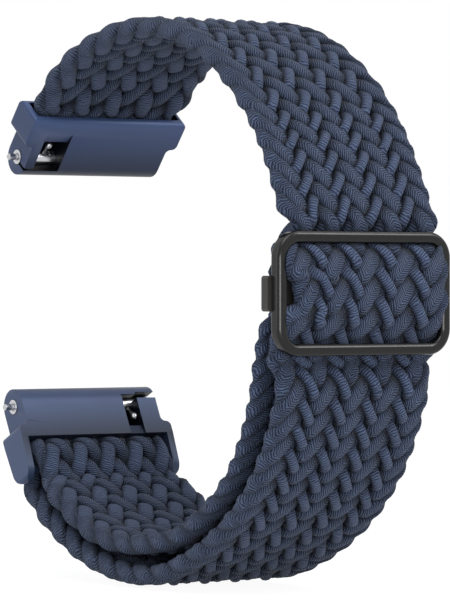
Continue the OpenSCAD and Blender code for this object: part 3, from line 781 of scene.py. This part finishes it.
# How far each value goes with another, and what it starts from.
RIB_BY_KNIT, RIB_LEAST = 0.35, 0.65
HEIGHT_BY_FLUFF = 0.35
COLOUR_BY_RIB, COLOUR_BY_FLUFF, COLOUR_LOSS = 0.9, 0.4, 0.1
TONE_BY_PATCH, PATCH_LEAST = 0.5, 0.75
TONE_BY_OPEN, OPEN_LEAST = 0.92, 0.22
TONE_BY_KNIT, KNIT_START = -0.5, 1.4
ROUGH_BY_RIB, ROUGH_START = -0.15, 0.85


def make_weave_material():
    """Fine ribs across each cord, which meet in a chevron where it lies broad, with soft
    fluff over them and painted shade in the grooves between the ribs. A cord is darker,
    as painted shade, where another crosses it and down its sides."""
    material, tree = new_material("navy_braid")
    sums = partial(maths, tree)
    along, across = attribute(tree, "cord_along"), attribute(tree, "cord_across")
    knit, clear_of_painted_shade = attribute(tree, "cord_knit"), attribute(tree, "cord_painted_light")
    place = add_node(tree, "ShaderNodeTexCoord").outputs["Object"]
    sway = noise(tree, place, SWAY_SCALE, detail=1.0)
    fluff = noise(tree, place, FLUFF_SCALE)
    patch = noise(tree, place, PATCH_SCALE)

    slope = sums("MULTIPLY", knit, CHEVRON_SLOPE)
    chevron = sums("MULTIPLY", sums("ABSOLUTE", across), slope)
    phase = sums("ADD", sums("SUBTRACT", along, chevron),
                 sums("MULTIPLY_ADD", sway, RIB_SWAY, -RIB_SWAY / 2))
    ribs = sums("SINE", sums("MULTIPLY", phase, 2 * math.pi / RIB_PITCH))
    ribs = sums("MULTIPLY_ADD", ribs, 0.5, 0.5)
    depth = sums("MULTIPLY", ribs, sums("MULTIPLY_ADD", knit, RIB_BY_KNIT, RIB_LEAST))
    height = sums("ADD", depth, sums("MULTIPLY", fluff, HEIGHT_BY_FLUFF))
    bumps = add_node(tree, "ShaderNodeBump", {"Strength": 1.0, "Distance": RIB_HEIGHT,
                                              "Height": height})

    # Painted shade: the colour runs from the groove colour to the crest colour with rib
    # height, with random tone from the fluff.
    share = sums("ADD", sums("MULTIPLY", depth, COLOUR_BY_RIB),
                 sums("MULTIPLY", fluff, COLOUR_BY_FLUFF))
    share = sums("SUBTRACT", share, COLOUR_LOSS, clamp=True)
    colour = mix_colours(tree, share, WEAVE_GROOVE_PAINTED_SHADE, WEAVE_CREST)
    tone_with_painted_light = sums("MULTIPLY_ADD", patch, TONE_BY_PATCH, PATCH_LEAST)
    # Painted shade where a cord is closed to the light.
    tone_with_painted_light = sums("MULTIPLY", tone_with_painted_light, sums("MULTIPLY_ADD", clear_of_painted_shade, TONE_BY_OPEN, OPEN_LEAST))
    tone_with_painted_light = sums("MULTIPLY", tone_with_painted_light, sums("MULTIPLY_ADD", knit, TONE_BY_KNIT, KNIT_START))
    set_inputs(tree.nodes["Principled BSDF"], {
        "Sheen Weight": 0.06, "Sheen Roughness": 0.4, "Specular IOR Level": 0.15,
        "Base Color": mix_colours(tree, 1.0, colour, tone_with_painted_light, "MULTIPLY"),
        "Roughness": sums("MULTIPLY_ADD", ribs, ROUGH_BY_RIB, ROUGH_START),
        "Normal": bumps.outputs[0]})
    return material


weave = make_weave_material()

upper_run = lay_braid("strap_upper_braid", way_beat[0], HAND_TURNS)
inner_run = lay_braid("strap_inner_braid", HAND_TURNS, BAR_REACHED)
bottom_turn = lay_braid("strap_bottom_turn", BAR_REACHED, BAR_LEFT)
outer_run = lay_braid("strap_outer_braid", BAR_LEFT, SLIDER_REACHED)
end_turn = lay_braid("strap_end_turn", SLIDER_REACHED, way_beat[-1], FOLD_RING_STEP)

for piece, nodes in ((upper_run, ("strap_upper_run", "strap_anchor_end")),
                     (inner_run, ("strap_inner_run",)),
                     (bottom_turn, ("strap_bottom_fold",)),
                     (outer_run, ("strap_outer_run",)), (end_turn, ("strap_end_fold",))):
    give_material(piece, weave)
    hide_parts(*nodes)
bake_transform(upper_run)
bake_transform(inner_run)
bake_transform(outer_run)
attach(bottom_turn, "strap")
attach(end_turn, "slider")


# Slider: a gunmetal frame cast in one piece, with a flat centre bar whose ends snap
# into notches in its back; the strap's end is folded round the bar and sewn.
SLIDER_EDGE = 0.32 * MM
# The frame's warm, lighter edge colour is partly a painted highlight along its edges.
gunmetal = painted_metal("slider_gunmetal", colour=(0.004, 0.004, 0.004),
                         edge_colour=(0.06, 0.055, 0.05), roughness=0.14, grain=3000.0,
                         bump=0.1, specular=0.3)
thread = painted_metal("navy_thread", colour=(0.03, 0.038, 0.07),
                       edge_colour=(0.05, 0.06, 0.1), roughness=0.7, grain=5000.0, bump=0.6)
slider_shell = copy_of_node("slider_frame", "slider_frame_shell")
give_material(slider_shell, gunmetal)
round_edges(slider_shell, SLIDER_EDGE)
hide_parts("slider_frame")
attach(slider_shell, "slider")
finish_node("slider_centre_bar", gunmetal)
finish_node("strap_end_stitching", thread)
